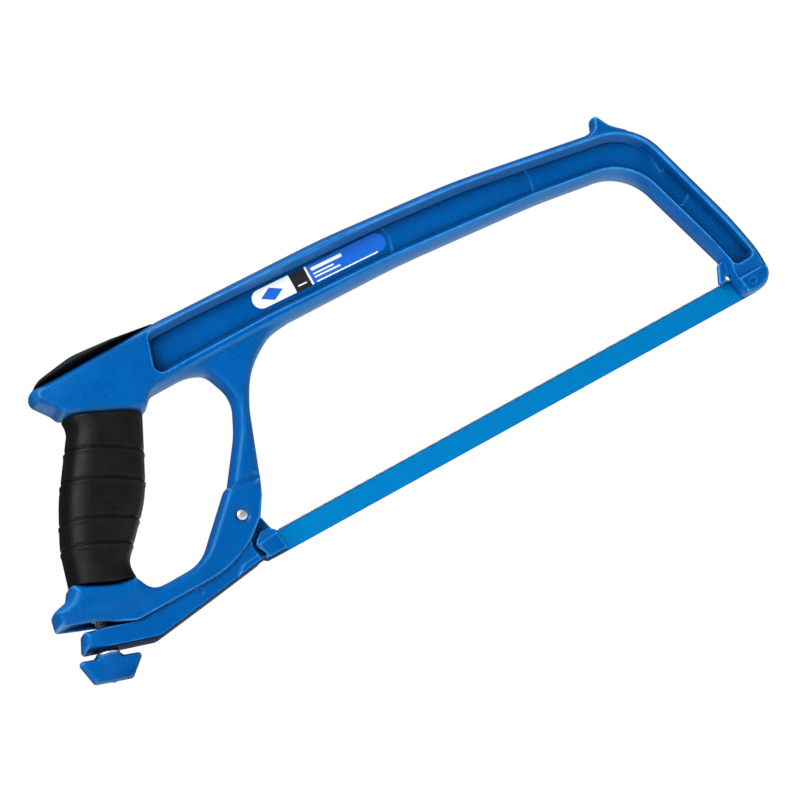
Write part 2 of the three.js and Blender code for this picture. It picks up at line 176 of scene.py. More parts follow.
def along_path(points, x, z, r):
    """Field of a round stroke that follows the points."""
    nearest = np.full(x.shape, np.inf)
    for (ax, az), (bx, bz) in zip(points, points[1:]):
        ex, ez = bx - ax, bz - az
        share = np.clip(((x - ax) * ex + (z - az) * ez) / (ex * ex + ez * ez), 0, 1)
        nearest = np.minimum(nearest, np.hypot(x - ax - share * ex, z - az - share * ez))
    return nearest - r


def ellipsoid(x, y, z, radii):
    """Field of an ellipsoid round zero, close to a distance near its surface."""
    p = [x / radii[0], y / radii[1], z / radii[2]]
    k0 = np.sqrt(sum(v * v for v in p))
    k1 = np.sqrt(sum((v / r) ** 2 for v, r in zip(p, radii))) + 1e-9
    return k0 * (k0 - 1) / k1


def drill(x, z, centre, r):
    """Field of a round hole across the saw."""
    return np.hypot(x - centre[0], z - centre[1]) - r


def swelling(flat, x, y, z, centre, lean, radii, half, blend):
    """An outline's field `flat` as a solid that an ellipsoid rounds off and `half` cuts flat.
    `lean` is the cosine and sine of the ellipsoid's lean to the front."""
    px, pz = x - centre[0], z - centre[1]
    ball = ellipsoid(px * lean[0] - pz * lean[1], y, pz * lean[0], radii)
    return smooth_max(smooth_max(flat, ball, blend), abs(y) - half, 2)


def to_screw(x, z):
    """Coordinates forward of, and up, the tension screw's axis."""
    px, pz = x - SCREW_FOOT.x, z - SCREW_FOOT.z
    c, s = math.cos(TILT), math.sin(TILT)
    return c * px - s * pz, s * px + c * pz


OFF_GRID = np.array((0.26, 0.34, 0.22))  # share of a voxel that keeps flat faces off the grid points


def fill(name, low, high, voxel, layer):
    """Object whose surface is where layer(x, z)(y) is zero, filled one XZ layer at a time."""
    low = np.array(low) - OFF_GRID * voxel
    axes = [np.arange(a, b + voxel, voxel, dtype=np.float32) for a, b in zip(low, high)]
    x, z = np.meshgrid(axes[0], axes[2], indexing="ij")
    paint = layer(x, z)
    field = np.stack([paint(float(y)) for y in axes[1]], axis=1).astype(np.float32)
    reach = 4 * voxel
    grid = openvdb.FloatGrid(reach)
    grid.copyFromArray(np.clip(field, -reach, reach))
    points, quads = grid.convertToQuads(0.0)
    mesh = bpy.data.meshes.new(name)
    mesh.from_pydata(((points * voxel + low) * MM).tolist(), [], quads.tolist())
    piece = shown(name, mesh)
    mark_bends(mesh, voxel)
    return piece


def mark_bends(mesh, voxel):
    """Stores how far each point stands out of the surface round it, in voxels, as "bend"."""
    places = np.empty(len(mesh.vertices) * 3)
    mesh.vertices.foreach_get("co", places)
    normals = np.empty(len(mesh.vertices) * 3, np.float32)
    mesh.vertex_normals.foreach_get("vector", normals)
    ends = np.empty(len(mesh.edges) * 2, np.int32)
    mesh.edges.foreach_get("vertices", ends)
    first, second = ends.reshape(-1, 2).T
    count = np.bincount(ends)

    def spread(values):
        """Each point's value averaged with its neighbours'."""
        total = values * count
        total += np.bincount(first, values[second], len(count))
        total += np.bincount(second, values[first], len(count))
        return total / (2 * count)

    near = [spread(column) for column in places.reshape(-1, 3).T]
    far = [spread(spread(spread(column))) for column in near]
    bend = sum((a - b) * n for a, b, n in zip(near, far, normals.reshape(-1, 3).T)) / (voxel * MM)
    mesh.attributes.new("bend", "FLOAT", "POINT").data.foreach_set("value", spread(bend))


def shown(name, mesh):
    """Smooth object of that mesh, facing outwards, at the world's origin."""
    work = bmesh.new()
    work.from_mesh(mesh)
    bmesh.ops.recalc_face_normals(work, faces=work.faces)
    work.to_mesh(mesh)
    work.free()
    mesh.shade_smooth()
    piece = bpy.data.objects.new(name, mesh)
    bpy.context.collection.objects.link(piece)
    return piece


def place(piece, body, material, finish, *nodes):
    """Moves a mesh from the rear blade pin's coordinates to the frame's, and gives it its body."""
    piece.data.transform(Matrix.Translation(HOME * MM))
    piece.data.materials.append(material)
    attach(piece, body)
    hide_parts(*nodes)


# ---- finishes -------------------------------------------------------------------------------


class Nodes:
    """A node tree under construction. Values may be numbers, colours or other nodes' outputs."""

    def __init__(self, tree):
        self.tree = tree

    def put(self, socket, value):
        """Sets a socket, or links it to another node's output."""
        if isinstance(value, bpy.types.NodeSocket):
            self.tree.links.new(value, socket)
        else:
            socket.default_value = value

    def node(self, kind, inputs=(), **settings):
        """Adds a node with those inputs and settings."""
        made = self.tree.nodes.new(kind)
        for name, value in settings.items():
            setattr(made, name, value)
        for key, value in dict(inputs).items():
            self.put(made.inputs[key], value)
        return made

    def ramp(self, value, start, end, low=0.0, high=1.0, **settings):
        """Goes from low to high while the value goes from start to end."""
        inputs = {
            "Value": value, "From Min": start, "From Max": end, "To Min": low, "To Max": high,
        }
        return self.node("ShaderNodeMapRange", inputs, **settings).outputs["Result"]

    def mix(self, share, a, b, kind="RGBA"):
        """a where the share is 0, and b where it is 1."""
        inputs = {"Factor": share, "A": a, "B": b}
        return self.node("ShaderNodeMix", inputs, data_type=kind).outputs["Result"]

    def times(self, a, b):
        return self.node("ShaderNodeMath", {0: a, 1: b}, operation="MULTIPLY").outputs["Value"]


class Finish(Nodes):
    """A material under construction."""

    def __init__(self, name):
        self.material = bpy.data.materials.new(name)
        self.material.use_nodes = True
        super().__init__(self.material.node_tree)
        self.shader = self.tree.nodes["Principled BSDF"]
        self.place = self.node("ShaderNodeTexCoord").outputs["Object"]

    def stretched(self, x, y, z):
        """The piece's coordinates scaled along each axis."""
        mapping = self.node("ShaderNodeMapping", {"Vector": self.place, "Scale": (x, y, z)})
        return mapping.outputs["Vector"]

    def noise(self, size_mm, detail=3, where=None):
        """Cloudy value from 0 to 1 with features of about that size."""
        inputs = {"Vector": where or self.place, "Scale": 1 / (size_mm * MM), "Detail": detail}
        return self.node("ShaderNodeTexNoise", inputs).outputs["Fac"]

    def clouds(self, size_mm, low=0.0, high=1.0):
        """Cloudy value from low to high."""
        return self.ramp(self.noise(size_mm), 0.3, 0.7, low, high)

    def openness(self, reach_mm):
        """1 on open faces, lower in hollows up to about that wide."""
        inputs = {"Distance": reach_mm * MM}
        return self.node("ShaderNodeAmbientOcclusion", inputs, samples=8).outputs["AO"]

    def bump(self, *layers):
        """Relief from (height 0 to 1, depth in mm) pairs, stacked."""
        normal = None
        for height, depth_mm in layers:
            inputs = {"Height": height, "Distance": depth_mm * MM}
            if normal:
                inputs["Normal"] = normal
            normal = self.node("ShaderNodeBump", inputs).outputs["Normal"]
        self.put(self.shader.inputs["Normal"], normal)

    def finish(self, **inputs):
        """Sets the shader's inputs, their names with _ for a space, and gives the material."""
        for name, value in inputs.items():
            self.put(self.shader.inputs[name.replace("_", " ")], value)
        return self.material


def grey(value):
    return (value, value, value, 1)


def darker(color, share):
    return tuple(share * c for c in color[:3]) + (1,)


SHEEN = (0.05, 0.65, 1.0, 1)  # colour of the highlights on the blue finishes


def powder_coat(name, underside_lighting, dullness):
    """Blue coat with an orange-peel skin, painted shade in recesses and a painted highlight on edges.
    Faces turned down take a colour that paints how they are lit, and lose gloss by `dullness`."""
    f = Finish(name)
    base = f.mix(f.clouds(14), (0.0, 0.061, 0.256, 1), (0.0, 0.077, 0.305, 1))
    speckle = f.ramp(f.noise(0.9, 4), 0.5, 0.72, 0, 0.7)
    base = f.mix(speckle, base, (0.0, 0.115, 0.39, 1))
    # Painted shade: darker where ambient occlusion finds a recess.
    hollow_shade = f.ramp(f.openness(12), 0.3, 0.88, 1, 0)
    base = f.mix(hollow_shade, base, (0.0, 0.006, 0.035, 1))
    bend = f.node("ShaderNodeAttribute", attribute_name="bend").outputs["Fac"]
    # Painted highlight: lighter along convex edges where the bend is high, broken up by clouds.
    edge_highlight = f.times(f.ramp(bend, 0.03, 0.13, 0, 0.6), f.clouds(6, 0.5, 1))
    base = f.mix(edge_highlight, base, (0.05, 0.34, 0.85, 1))
    facing = f.node("ShaderNodeNewGeometry").outputs["Normal"]
    upward = f.node("ShaderNodeSeparateXYZ", {"Vector": facing}).outputs["Z"]
    # Painted light on faces turned down: a painted reflection of the bright floor on the frame's coat,
    # painted shade on the lever's.
    down = f.ramp(upward, -0.45, -0.8)
    base = f.mix(f.times(down, 0.95), base, underside_lighting)
    dull = f.times(down, dullness)
    f.bump((f.noise(0.8, 2), 0.09), (f.noise(5, 2), 0.08))
    return f.finish(
        Base_Color=base, Roughness=f.clouds(3, 0.34, 0.44),
        Specular_IOR_Level=f.ramp(dull, 0, 1, 0.3, 0), Specular_Tint=SHEEN,
        Coat_Weight=f.ramp(dull, 0, 1, 0.08, 0), Coat_Roughness=0.2,
    )


def grip_rubber():
    f = Finish("grip rubber")
    dusty = f.ramp(f.noise(9), 0.35, 0.75)
    base = f.mix(dusty, (0.003, 0.0024, 0.0027, 1), (0.006, 0.005, 0.0055, 1))
    f.bump((f.noise(0.45, 2), 0.12), (f.noise(1.6, 2), 0.14))
    return f.finish(
        Base_Color=base, Roughness=f.clouds(2, 0.36, 0.48), Specular_IOR_Level=0.16,
    )


def pad_rubber():
    f = Finish("pad rubber")
    base = f.mix(f.clouds(7), (0.004, 0.004, 0.006, 1), (0.007, 0.007, 0.01, 1))
    f.bump((f.noise(0.5, 2), 0.05))
    return f.finish(
        Base_Color=base, Roughness=f.clouds(2, 0.4, 0.52), Specular_IOR_Level=0.2,
    )


def bright_metal(name, color, roughness):
    """Bare or plated metal with fine scratches, stained in places, with painted shade in recesses."""
    f = Finish(name)
    scratch = f.noise(0.25)
    stain = f.ramp(f.noise(4), 0.45, 0.8)
    base = f.mix(stain, color, darker(color, 0.72))
    # Painted shade: darker where ambient occlusion finds a recess.
    hollow_shade = f.ramp(f.openness(8), 0.25, 0.75, 1, 0)
    base = f.mix(hollow_shade, base, grey(0.02))
    f.bump((scratch, 0.012))
    rough = f.ramp(scratch, 0.3, 0.7, roughness, roughness + 0.14)
    return f.finish(Base_Color=base, Metallic=1.0, Roughness=rough)


def blade_enamel():
    f = Finish("blade enamel")
    rolled = f.noise(0.4, where=f.stretched(0.03, 1, 1))
    base = f.mix(f.ramp(rolled, 0.3, 0.7), (0.0, 0.143, 0.39, 1), (0.0, 0.163, 0.43, 1))
    height = f.node("ShaderNodeSeparateXYZ", {"Vector": f.place}).outputs["Z"]
    top = HOME.z + BLADE_HIGH.z
    bottom = HOME.z + BLADE_LOW.z
    teeth = f.ramp(height, (top - 1.5) * MM, (top - 0.7) * MM)
    back = f.ramp(height, (bottom + 0.5) * MM, (bottom + 0.25) * MM)
    base = f.mix(teeth, base, (0.004, 0.055, 0.14, 1))
    base = f.mix(back, base, (0.0, 0.1, 0.28, 1))
    f.bump((rolled, 0.008))
    return f.finish(
        Base_Color=base, Roughness=f.clouds(2, 0.3, 0.42), Specular_IOR_Level=0.4,
        Specular_Tint=SHEEN,
    )


def film(name, color):
    f = Finish(name)
    base = f.mix(f.ramp(f.noise(3), 0.35, 0.75), color, darker(color, 0.93))
    f.bump((f.noise(1.5, 2), 0.02))
    return f.finish(Base_Color=base, Roughness=f.clouds(2, 0.3, 0.42))


# The frame's coat is lighter below, a painted reflection; the lever's copy is darker and duller below,
# painted shade.
COAT = powder_coat("powder coat", (0.03, 0.15, 0.4, 1), 0)
SHADED_LEVER_COAT = powder_coat("lever powder coat", (0.0, 0.012, 0.05, 1), 0.95)
GRIP_RUBBER = grip_rubber()
PAD_RUBBER = pad_rubber()
ZINC = bright_metal("zinc plate", (0.74, 0.75, 0.77, 1), 0.36)
STEEL = bright_metal("steel", (0.36, 0.37, 0.39, 1), 0.28)
BRONZE = bright_metal("bronze", (0.43, 0.27, 0.1, 1), 0.4)
ENAMEL = blade_enamel()
FILM_WHITE = film("white film", (0.86, 0.88, 0.9, 1))
FILM_BLACK = film("black film", (0.012, 0.012, 0.014, 1))
FILM_BLUE = film("blue film", (0.0, 0.115, 0.56, 1))


# ---- frame ----------------------------------------------------------------------------------

BEAM = outline(
    (-69.4, 131.7, 4.1), (10, 132.4, 80), (110, 129.2, 400), (187, 122.4, 400), (246, 112.6, 200),
    (290.1, 105.2, 33), (308.9, 35, 200), (313.2, 10, 60), (311.6, -5.6, 9), (291.4, -6.2, 4.5),
    (290.6, 6, 10), (292.2, 16, 12), (273.3, 83.5, 28), (222, 90.9, 300), (140, 97.6, 400),
    (60, 99.3, 400), (-14.5, 99.8, 7), (-21.8, 93.2, 3.6), (-61.6, 112.2, 4), (-63.4, 116.4, 8),
    (-71.6, 126.2, 4.8),
)
GUARD = outline(
    (-6.4, 34.2), (14.9, 61, 60), (24.2, 78.5, 18), (18.4, 95, 14), (4, 106), (68, 106), (68, 101.4),
    (59.4, 98.4, 20), (39.2, 85.7, 45), (28.8, 68.5, 60), (14.2, 33.5),
)
BASE = outline(
    (14, 34.4, 0.5), (-5.6, 37.4), (-36.8, 9.2, 28), (-68.3, 8.6, 9), (-73, 19.2, 2), (-86, 22.4, 40),
    (-105.6, 31.6, 2), (-109.5, 25.8, 8), (-119.9, 23.6, 3), (-122.7, 14.2, 2), (-104.5, 7.4, 40),
    (-84.6, -2.1, 10), (-29.5, -1.9, 55), (-10.8, 4.7, 40), (2.5, 15.1, 1.5), (9.3, 25, 20),
)
HEAD = outline(
    (-69, 131, 3.6), (20, 131), (20, 104), (-14.5, 101, 7), (-22, 94.2, 3), (-61.6, 112.6, 4),
    (-63.4, 116.8, 8), (-71, 126.4, 4.4),
)
HEEL = outline(
    (-73.5, 18.8, 2), (-86, 22, 40), (-105.2, 31.2, 2), (-109.5, 25.2, 8), (-119.6, 23, 3),
    (-121.8, 15), (-104, 9), (-86, 1), (-60, 1), (-60, 8), (-69, 9, 8),
)
HOOK = outline(
    (260, 98), (260, 107), (268.6, 110.6, 4), (271.3, 116.6, 1.7), (273.8, 116.2, 1.7),
    (277.5, 108.8, 8), (284, 102), (280, 98),
)
EAR = outline((297, 17), (289.2, 15.6), (284.2, 6, 0.5), (297, 4.6))
BLOCK_TOP = 3.3
FRONT_BLOCK = outline(
    (295.4, BLOCK_TOP, 0.8), (293.6, -6.3, 2.2), (304, -6.3, 8), (310.6, -2.4, 8),
    (310.7, BLOCK_TOP, 0.4),
)
POCKET = outline(
    (-8, 106.4, 4.3), (-0.2, 128.3, 4.3), (30, 128.1, 400), (137, 122.3, 400), (192, 117.2, 300),
    (240, 109.1, 200), (286.2, 101.4, 28), (304.9, 30, 200), (308.4, 9.8, 3.6),
    (296.2, 9.8, 3.6), (292.2, 30, 200), (276.2, 86.9, 29), (221, 95.0, 300), (137, 102.8, 400),
    (60, 106, 400),
)
SPINE = outline((-86.4, 10.1), (-25.4, 104.1), (-48.6, 117.9), (-104.6, 23.9))
TAIL = outline((-126, -6), (-126, 15.5), (-112, 14.5), (-88, 9), (-66, 1.5), (-66, -6))

# Half widths, from the middle of the frame to each side.
FACE = 10.0
GUARD_HALF = 8.4
HOOK_HALF = 8.0
CORE_HALF = 8.0  # the core that carries the grip
SLOT_HALF = 4.9  # the slot that takes the lever's eye
TAIL_HALF = 8.4  # the hollow that the rear of the lever closes into
HEAD_SWELLING = {
    "centre": (-34, 112), "lean": (0.993, 0.12), "radii": (62, 14, 34), "half": 13.5, "blend": 4,
}
HEEL_SWELLING = {
    "centre": (-92, 20), "lean": (0.955, -0.296), "radii": (40, 13.5, 22), "half": 13, "blend": 7,
}
# The web that the pocket leaves between the two sides.
WEB = 4.3  # half its thickness at the front
WEB_STEP = 0.5  # how much thinner each half gets behind each arc
WEB_ARCS = ((128, 113, 14), (209, 105, 16), (288, 63, 10))  # centre and radius
ARC_DROP = 10  # how far below its centre an arc's thin side goes on
GUTTER, GUTTER_WIDTH = 0.5, 0.5  # round the edge of the web
WALL_RUN = 2.4  # how far the pocket's walls lean in
# The base's edges are rounder on the side of the hand: above HAND_FLOOR and behind a line.
HAND_RISE, HAND_RUN, HAND_OFFSET, HAND_FLOOR = 0.74, 0.67, 14, 4
BASE_CROWN, BASE_EDGE, HAND_ROUNDING = 0.7, 0.5, 3.5
# The near face above the front block is sunk, and comes back up with its height.
SUNK_FROM, SUNK_TO, SUNK_DEPTH, SUNK_SLOPE = 294.2, 307.4, 1.6, 0.19
# Room for the lever's eye: a circle round the pivot, and a block measured from the pivot.
EYE_ROOM, SLOT_BACK, SLOT_FORWARD, SLOT_RISE = 9.5, 12, 30, 4
# Room for the blade: in front of and below these, the far half of the front holder is left out.
ROOM_REAR, ROOM_TOP = 280, 8.2
EAR_Y, EAR_HALF, EAR_HOLE, EAR_HOLE_RADIUS = -2.9, 2.1, (290.3, 7), 1.4
# The pivot's bore opens into a shallow dish on each side, which widens by DISH_FLARE per mm.
PIVOT_BORE = 3.0
DISH_RADIUS, DISH_DEPTH, DISH_FLARE, DISH_FLOOR = 3.05, 0.9, 1.6, 8.6
BLOCK_BEVEL = 0.8
BLOCK_DIMPLE, BLOCK_DIMPLE_RADIUS, BLOCK_DIMPLE_DEPTH = (300, -1.4), 1.2, 0.9
SCREW_HOLE_RADIUS, SCREW_HOLE_DEPTH = 4.8, 34


def web_half(x, z, pocket):
    """Half thickness of the web: a raised panel that thins in shallow steps, each ending in an arc."""
    half = WEB - GUTTER * step(pocket + WALL_RUN + GUTTER_WIDTH, 0.6)
    for cx, cz, r in WEB_ARCS:
        behind = np.maximum(x - cx, cz - ARC_DROP - z)
        half -= WEB_STEP * step(-np.minimum(np.hypot(x - cx, z - cz) - r, behind), 0.5)
    return half


def frame_layer(x, z):
    beam, guard, base, head, heel, hook, ear, block, pocket, spine, tail = (
        distance(points, x, z)
        for points in (BEAM, GUARD, BASE, HEAD, HEEL, HOOK, EAR, FRONT_BLOCK, POCKET, SPINE, TAIL)
    )
    guard = smooth_min(guard, beam, 6)
    web = web_half(x, z, pocket)
    hand_side = np.minimum(HAND_RISE * z - HAND_RUN * x - HAND_OFFSET, z - HAND_FLOOR)
    rounding = BASE_EDGE + HAND_ROUNDING * step(hand_side, 5)
    over_block = np.maximum(SUNK_FROM - x, BLOCK_TOP - z)
    sunk = SUNK_DEPTH * step(SUNK_TO - x, 5) - SUNK_SLOPE * (z - BLOCK_TOP)
    slot = np.minimum(
        drill(x, z, PIVOT_XZ, EYE_ROOM),
        np.maximum.reduce([
            PIVOT.x - SLOT_BACK - x, x - PIVOT.x - SLOT_FORWARD, z - PIVOT.z - SLOT_RISE,
        ]),
    )
    dimple = drill(x, z, BLOCK_DIMPLE, BLOCK_DIMPLE_RADIUS)
    front_bore = drill(x, z, (FRONT_PIN.x, FRONT_PIN.z), PIN_BORE)
    forward, up = to_screw(x, z)

    def bow(y):
        """Everything that is cast in one, before it is hollowed and cut."""
        cast = crowned(beam, y, FACE, crown=3.2)
        cast = smooth_min(cast, crowned(guard, y, GUARD_HALF, crown=2.0, edge=4.0), 0.8)
        cast = smooth_min(cast, crowned(base, y, FACE, BASE_CROWN, rounding), 1.6)
        cast = smooth_min(cast, swelling(head, x, y, z, **HEAD_SWELLING), 2.5)
        cast = smooth_min(cast, swelling(heel, x, y, z, **HEEL_SWELLING), 2.5)
        cast = smooth_min(cast, crowned(hook, y, HOOK_HALF, crown=1.2), 2.0)
        cast = smooth_min(cast, np.maximum(ear, abs(y - EAR_Y) - EAR_HALF), 0.8)
        return np.minimum(cast, np.maximum(spine, abs(y) - CORE_HALF))

    def at(y):
        near = abs(y)
        wall = pocket + WALL_RUN * (FACE - near) / (FACE - web)
        cast = smooth_max(bow(y), -smooth_max(wall, web - near, 0.7), 0.3)
        cast = smooth_max(cast, -np.maximum(over_block, y + FACE - sunk), 0.4)
        cast = np.minimum(cast, bevelled(block, y, FACE, BLOCK_BEVEL))
        block_body = crowned(block, y, FACE - BLOCK_BEVEL, crown=0.5, edge=0.5)
        cast = smooth_min(cast, block_body, 0.3)
        cast = smooth_max(cast, -np.maximum(slot, near - SLOT_HALF), 0.3)
        cast = smooth_max(cast, -np.maximum(tail, near - TAIL_HALF), 0.6)
        beside = np.maximum(ROOM_REAR - x, z - ROOM_TOP - max(0.0, y - SHELF))
        cast = smooth_max(cast, -np.maximum(beside, SHELF - y), 0.4)
        cast = np.maximum(cast, -drill(x, z, EAR_HOLE, EAR_HOLE_RADIUS))
        dish = drill(x, z, PIVOT_XZ, DISH_RADIUS + DISH_FLARE * (near - FACE + DISH_DEPTH))
        cast = smooth_max(cast, -np.maximum(dish, DISH_FLOOR - near), 1.2)
        cast = np.maximum(cast, -drill(x, z, PIVOT_XZ, PIVOT_BORE))
        cast = np.maximum(cast, -np.maximum(front_bore, -PIN_BORE_NEAR - y))
        cast = smooth_max(cast, -np.maximum(dimple, y + FACE - BLOCK_DIMPLE_DEPTH), 0.8)
        rod = np.hypot(forward, y) - SCREW_HOLE_RADIUS
        return np.maximum(cast, -np.maximum.reduce([rod, -up, up - SCREW_HOLE_DEPTH]))

    return at


def make_frame():
    piece = fill("bow_casting", (-127, -15, -9), (317, 15, 135), 0.5, frame_layer)
    place(piece, "bow", COAT, "blue_powder_coat", "frame")


# ---- grip and pad ---------------------------------------------------------------------------

GRIP_SIDES = outline(
    (-17.4, 103), (-63, 123, 8), (-61.6, 105.4, 12), (-85.8, 74, 90), (-98.3, 52, 60), (-111.6, 12),
    (-70.8, 8), (-71.4, 27.4, 12), (-44, 54.6, 70),
)
GRIP_ENDS = outline(
    (-21.9, 92.9, 1), (-61.9, 111, 1), (-120, 80), (-107, 31.9, 1), (-85, 21.6, 40), (-71, 18.6, 1),
    (-40, 30),
)
# The oval section: its half width, where it is cut flat, how far the outline draws in, its power.
OVAL_HALF, OVAL_FACE, OVAL_INSET, OVAL_POWER = 14.6, 14.3, 13.5, 2.2
GROOVE_TILT = math.radians(21.6)
GROOVES = (63.4, 46.9, 25.7, 11.9)
GROOVE_DEPTH, GROOVE_WIDTH = 1.1, 0.6
LIP_HEIGHT, LIP_WIDTH, LIP_DROP = 0.4, 0.9, 1.7  # the swelling below each groove
# Each groove sags toward the sides, and to the front and rear of one place along it.
SIDE_SAG, SIDE_REACH, END_SAG, SAG_CENTRE = 1.4, 14.5, 0.004, -94
SEAM_HEIGHT, SEAM_WIDTH = 0.4, 0.5  # the line left by the mould, round the middle of the grip
CORE_GAP = 0.3


def ellipse_bar(sides, y):
    """The grip's oval section: its outline at Y = 0, rounding over to a narrow flat face."""
    fullness = (1 - min(1.0, abs(y) / OVAL_HALF) ** OVAL_POWER) ** (1 / OVAL_POWER)
    return smooth_max(sides + OVAL_INSET * (1 - fullness), abs(y) - OVAL_FACE, 4)


def ridge(off, height, width):
    """Height of a round ridge, or of a groove, at a distance off its middle line."""
    return height * np.exp(-((off / width) ** 2))


def grip_layer(x, z):
    sides = distance(GRIP_SIDES, x, z)
    ends = distance(GRIP_ENDS, x, z)
    spine = distance(SPINE, x, z)
    height = math.sin(GROOVE_TILT) * x + math.cos(GROOVE_TILT) * z
    along = math.cos(GROOVE_TILT) * x - math.sin(GROOVE_TILT) * z

    def at(y):
        sag = SIDE_SAG * (y / SIDE_REACH) ** 2 + END_SAG * (along - SAG_CENTRE) ** 2
        relief = np.zeros_like(x)
        for groove in GROOVES:
            off = height - groove + sag
            lip = ridge(off + LIP_DROP, LIP_HEIGHT, LIP_WIDTH)
            relief += ridge(off, GROOVE_DEPTH, GROOVE_WIDTH) - lip
        body = ellipse_bar(sides, y) + relief - SEAM_HEIGHT * math.exp(-((y / SEAM_WIDTH) ** 2))
        body = smooth_max(body, ends, 1.0)
        return np.maximum(body, -np.maximum(spine - CORE_GAP, abs(y) - (CORE_HALF + CORE_GAP)))

    return at


def make_grip():
    piece = fill("grip_rubber", (-110, -16, 16), (-18, 16, 115), 0.45, grip_layer)
    place(piece, "bow", GRIP_RUBBER, "grip_rubber", "grip_sleeve")


PAD = outline(
    (-67.4, 132, 0.5), (-62.5, 135.4, 12), (-41, 138.5, 40), (-18, 136.5, 60), (6.6, 132.9, 0.4),
    (6.6, 132, 0.3),
)
PAD_REAR, PAD_FRONT = -68, 7
PAD_HALF = 12.2


def pad_layer(x, z):
    flat = distance(PAD, x, z)
    ends = np.maximum(PAD_REAR - x, x - PAD_FRONT)

    def at(y):
        return smooth_max(crowned(flat, y, PAD_HALF, crown=2.6, edge=1.2), ends, 0.4)

    return at


def make_pad():
    piece = fill("palm_pad_rubber", (-70, -14, 130), (9, 14, 140), 0.4, pad_layer)
    place(piece, "bow", PAD_RUBBER, "pad_rubber", "palm_pad")


# ---- lever and knob -------------------------------------------------------------------------

BAR = outline(
    (2.6, 8.6, 1.2), (6, 6.0, 0.6), (6.2, -6.4, 1.5), (-4.9, -6.4, 0.6), (-6.9, -4.9, 0.8),
    (-42, -9.8, 60), (-77.5, -14.5, 9), (-117.6, -2.6, 2.2), (-112, 7.4, 2), (-84, -1.2, 12),
    (-30, 0), (-12, 7), (-6, 9.4),
)
SHOULDER = outline((-27.8, -10), (-24.3, -5.3, 3), (-19.4, -1.9, 3), (-9.6, -0.9, 0.5), (-8.4, -10))
HOLDER = outline(
    (-7.4, -8), (-6, -3.4, 1.5), (-7.6, 0.6, 4), (-7, 3.1, 1.2), (-5.4, 3.7, 0.6), (5.3, 4.5, 0.6),
    (6.4, -8),
)
NECK = outline((-14.6, 19), (-14, -3), (2, -3), (5.2, 7, 1), (3.4, 15, 1), (2, 19))
RECESS = ((2, 12.6), (-3, 9), (-7.2, 6.1), (-8.8, 3.6), (-8.8, 1.2), (-7.2, -3))
SIDE = 8.2  # half width of the lever
RAISED = SIDE + 1.0  # half width at the shoulder and the holder
RAISED_BEVEL = 0.8
EYE_RADIUS, EYE_HALF, EYE_BORE = 8, 4.1, 4.1
RECESS_RADIUS, RECESS_FLOOR = 1.15, 5
LEVER_DIMPLE, LEVER_DIMPLE_RADIUS, LEVER_DIMPLE_DEPTH = (-47, -4.2), 1.5, 0.5
# The near side falls back with its height above RAMP_FOOT, in front of RAMP_REAR.
RAMP_REAR, RAMP_FOOT, RAMP_START, RAMP_SLOPE = -9, 4.2, 0.4, 0.45
# Room for the blade: in front of and below these, the far half of the rear holder is left out.
HOLDER_REAR, HOLDER_TOP = -9.5, 8
LEVER_EDGE, TIP_ROUNDING, TIP_FROM = 0.6, 4, -106  # the edges get rounder behind TIP_FROM
BASE_GAP = 0.15  # between the lever and the frame's base
# The slot for the tension screw: its round ends, half its straight part, its centre behind the screw.
SCREW_SLOT_RADIUS, SCREW_SLOT_RUN, SCREW_SLOT_BACK = 3.5, 4, 1
SCREW_SLOT_LOW, SCREW_SLOT_HIGH = -4, 16  # along the screw


def lever_layer(x, z):
    bar, shoulder, holder, neck, base = (
        distance(points, x, z) for points in (BAR, SHOULDER, HOLDER, NECK, BASE)
    )
    eye = np.minimum(drill(x, z, PIVOT_XZ, EYE_RADIUS), neck)
    shoulder = smooth_max(shoulder, bar, 0.5)
    holder = smooth_max(holder, bar, 0.5)
    blade_room = np.maximum(HOLDER_REAR - x, z - HOLDER_TOP)
    ramp = np.maximum(RAMP_REAR - x, RAMP_FOOT - z)
    fall = RAMP_SLOPE * (z - RAMP_FOOT)
    recess = along_path(RECESS, x, z, RECESS_RADIUS)
    dimple = drill(x, z, LEVER_DIMPLE, LEVER_DIMPLE_RADIUS)
    forward, up = to_screw(x, z)
    past_straight = np.maximum(np.abs(forward + SCREW_SLOT_BACK) - SCREW_SLOT_RUN, 0)
    rounding = LEVER_EDGE + TIP_ROUNDING * step(TIP_FROM - x, 12)

    def at(y):
        body = crowned(bar, y, SIDE, crown=0.4, edge=rounding)
        body = smooth_max(body, -np.maximum(ramp, y + SIDE + RAMP_START - fall), 0.4)
        body = np.minimum(body, bevelled(shoulder, y, RAISED, RAISED_BEVEL))
        body = np.minimum(body, bevelled(holder, y, RAISED, RAISED_BEVEL))
        body = smooth_max(body, -(crowned(base, y, FACE, BASE_CROWN, BASE_EDGE) - BASE_GAP), 0.2)
        body = smooth_max(body, -np.maximum(recess, y + RECESS_FLOOR), 0.4)
        body = smooth_max(body, -np.maximum(dimple, y + SIDE - LEVER_DIMPLE_DEPTH), 0.4)
        body = smooth_min(body, np.maximum(eye, abs(y) - EYE_HALF), 0.6)
        body = smooth_max(body, -np.maximum(blade_room, SHELF - y), 0.4)
        body = np.maximum(body, -drill(x, z, PIVOT_XZ, EYE_BORE))
        body = np.maximum(body, -np.maximum(drill(x, z, (0, 0), PIN_BORE), -PIN_BORE_NEAR - y))
        slot = np.hypot(past_straight, y) - SCREW_SLOT_RADIUS
        slot = np.maximum.reduce([slot, SCREW_SLOT_LOW - up, up - SCREW_SLOT_HIGH])
        return smooth_max(body, -slot, 0.4)

    return at


def make_lever():
    piece = fill("lever_casting", (-122, -10, -17), (8, 10, 31), 0.4, lever_layer)
    place(piece, "lever", SHADED_LEVER_COAT, "blue_powder_coat", "tension_lever")


